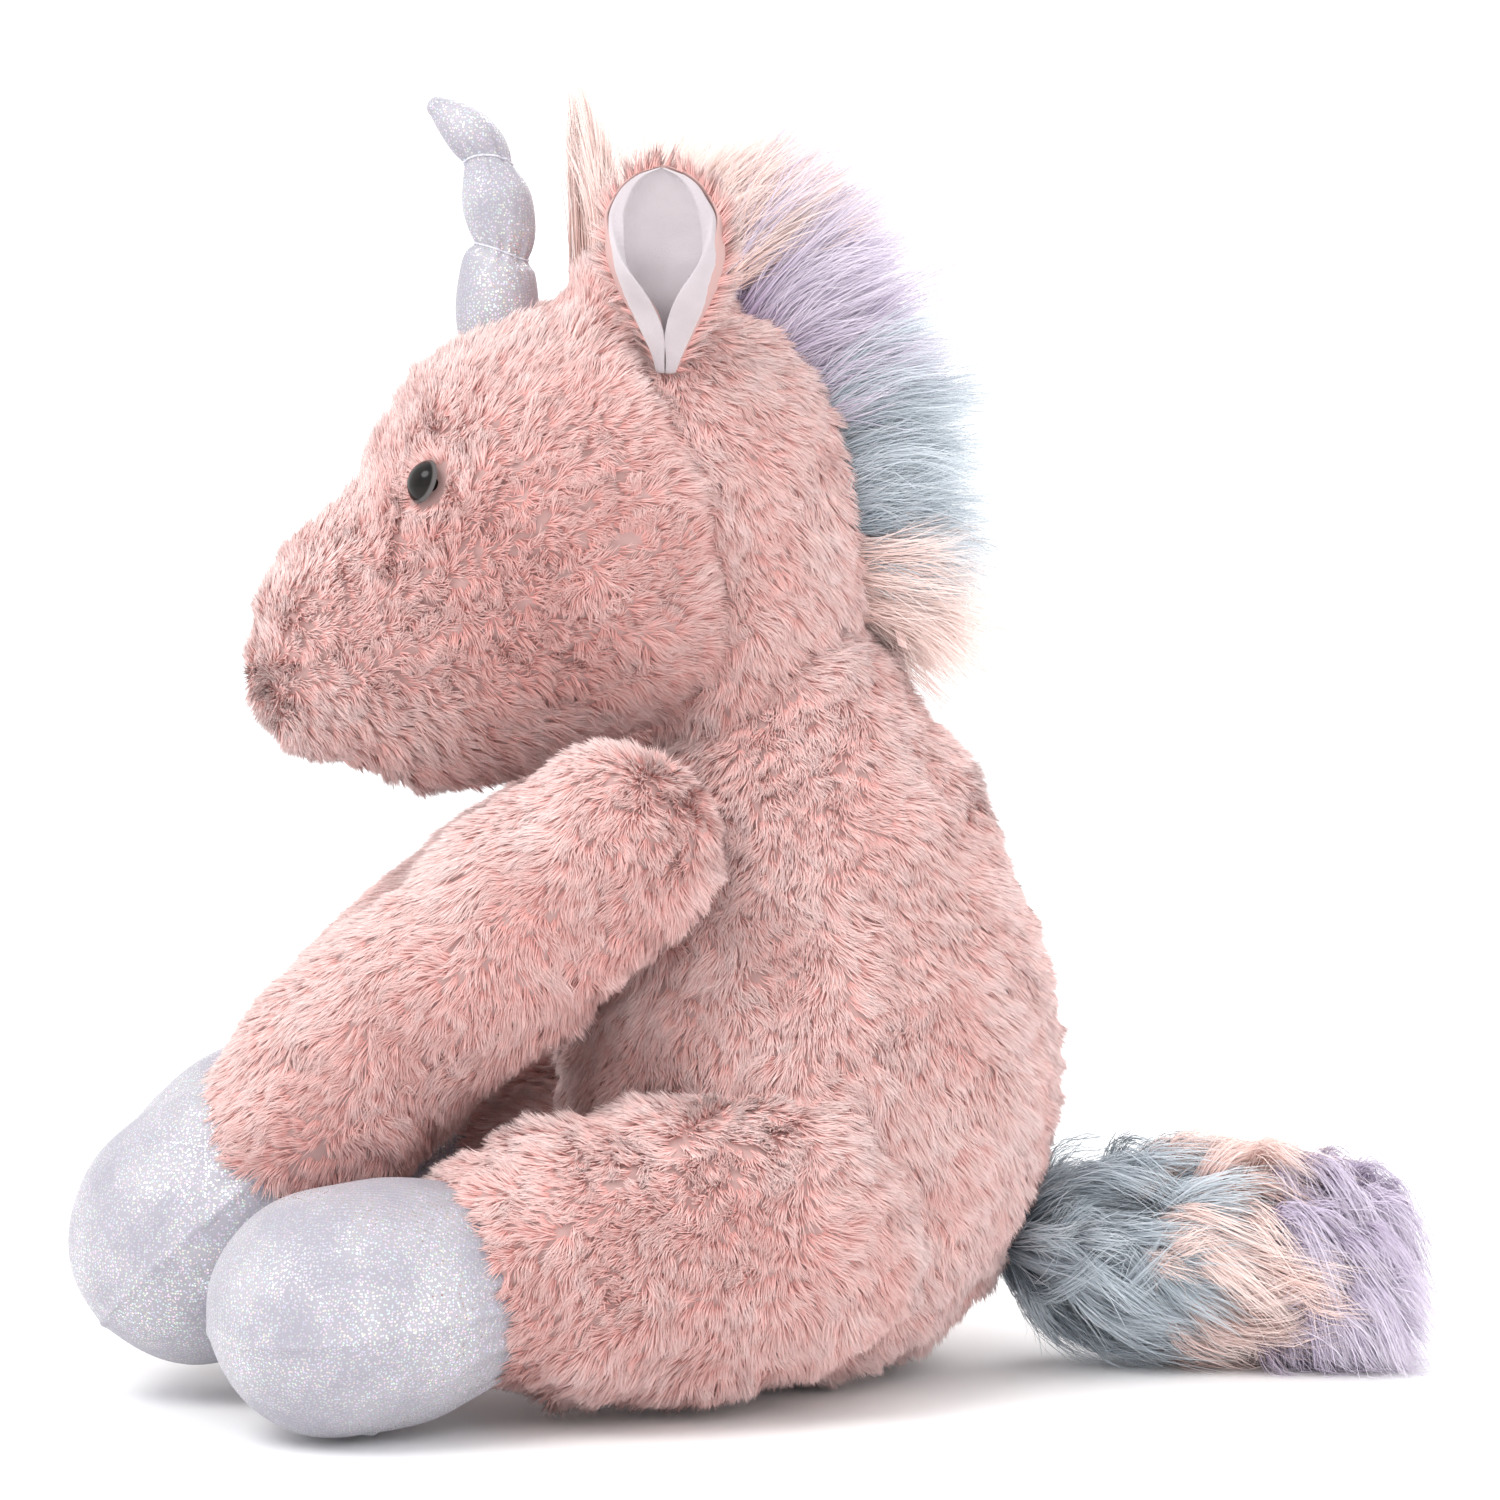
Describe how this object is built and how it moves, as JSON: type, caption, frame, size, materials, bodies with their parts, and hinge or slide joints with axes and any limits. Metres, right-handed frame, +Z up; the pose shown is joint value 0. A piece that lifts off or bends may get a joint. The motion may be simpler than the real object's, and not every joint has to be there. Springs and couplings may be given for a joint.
{
  "type": "plush unicorn",
  "caption": "Seated plush unicorn with a stuffed fur body, sparkly cloth hooves and wound horn, long-pile coloured mane and tail.",
  "frame": {"origin": "on the flat seat panel at the bottom of the torso, below the neck, in the middle plane", "axes": "+Z up, the toy faces -Y, its left side is +X"},
  "size_m": [0.252, 0.338, 0.3317],
  "materials": {
    "pink_fur": "matte",
    "sparkle_cloth": "matte",
    "white_velboa": "matte",
    "eye_plastic": "gloss",
    "washer_plastic": "matte",
    "fibre_fill": "matte",
    "pellet_plastic": "matte",
    "bag_cloth": "matte",
    "thread": "matte",
    "hair_backing": "matte",
    "hair_lavender": "matte",
    "hair_blue": "matte",
    "hair_cream": "matte"
  },
  "bodies": {
    "torso": {"belly_panel": "pink_fur", "pellet_bag": "bag_cloth", "pellets": "pellet_plastic", "seat_panel": "pink_fur", "torso_filling": "fibre_fill", "torso_panel_left": "pink_fur", "torso_panel_right": "pink_fur"},
    "head": {"chin_panel": "pink_fur", "eye_left": "eye_plastic", "eye_right": "eye_plastic", "eye_washer_left": "washer_plastic", "eye_washer_right": "washer_plastic", "forelock": "hair_cream", "head_filling": "fibre_fill", "head_gusset": "pink_fur", "head_panel_left": "pink_fur", "head_panel_right": "pink_fur", "horn_cover": "sparkle_cloth", "horn_filling": "fibre_fill", "horn_thread": "thread", "mane_blue": "hair_blue", "mane_cream_lower": "hair_cream", "mane_cream_upper": "hair_cream", "mane_lavender": "hair_lavender", "mane_strip": "hair_backing", "neck_filling": "fibre_fill", "neck_panel_left": "pink_fur", "neck_panel_right": "pink_fur"},
    "ear_left": {"ear_inner_left": "white_velboa", "ear_outer_left": "pink_fur"},
    "ear_right": {"ear_inner_right": "white_velboa", "ear_outer_right": "pink_fur"},
    "arm_left": {"arm_filling_left": "fibre_fill", "arm_hoof_sole_left": "sparkle_cloth", "arm_hoof_top_left": "sparkle_cloth", "arm_sleeve_left": "pink_fur"},
    "arm_right": {"arm_filling_right": "fibre_fill", "arm_hoof_sole_right": "sparkle_cloth", "arm_hoof_top_right": "sparkle_cloth", "arm_sleeve_right": "pink_fur"},
    "leg_left": {"leg_filling_left": "fibre_fill", "leg_hoof_sole_left": "sparkle_cloth", "leg_hoof_top_left": "sparkle_cloth", "leg_sleeve_left": "pink_fur"},
    "leg_right": {"leg_filling_right": "fibre_fill", "leg_hoof_sole_right": "sparkle_cloth", "leg_hoof_top_right": "sparkle_cloth", "leg_sleeve_right": "pink_fur"},
    "tail": {"tail_blue": "hair_blue", "tail_core": "hair_backing", "tail_cream": "hair_cream", "tail_lavender": "hair_lavender"}
  },
  "joints": [
    {"name": "head_nod", "type": "hinge", "parent": "torso", "child": "head", "pos_m": [0, -0.014, 0.158], "axis": [1, 0, 0], "range_deg": [-15, 12]},
    {"name": "arm_left_swing", "type": "hinge", "parent": "torso", "child": "arm_left", "pos_m": [0.062, -0.057, 0.134], "axis": [-0.7071, 0, 0.7071], "range_deg": [-4, 70]},
    {"name": "leg_left_swing", "type": "hinge", "parent": "torso", "child": "leg_left", "pos_m": [0.057, -0.02, 0.042], "axis": [-0.4226, 0, 0.9063], "range_deg": [-4, 50]},
    {"name": "ear_left_fold", "type": "hinge", "parent": "head", "child": "ear_left", "pos_m": [0.037, -0.044, 0.262], "axis": [0, 1, 0], "range_deg": [-20, 40], "stiffness_Nm_per_rad": 0.01},
    {"name": "arm_right_swing", "type": "hinge", "parent": "torso", "child": "arm_right", "pos_m": [-0.062, -0.057, 0.134], "axis": [-0.7071, 0, -0.7071], "range_deg": [-4, 70]},
    {"name": "leg_right_swing", "type": "hinge", "parent": "torso", "child": "leg_right", "pos_m": [-0.057, -0.02, 0.042], "axis": [-0.4226, 0, -0.9063], "range_deg": [-4, 50]},
    {"name": "ear_right_fold", "type": "hinge", "parent": "head", "child": "ear_right", "pos_m": [-0.037, -0.044, 0.262], "axis": [0, -1, 0], "range_deg": [-20, 40], "stiffness_Nm_per_rad": 0.01},
    {"name": "tail_swing", "type": "hinge", "parent": "torso", "child": "tail", "pos_m": [0, 0.052, 0.031], "axis": [0, 0, 1], "range_deg": [-30, 30]}
  ]
}
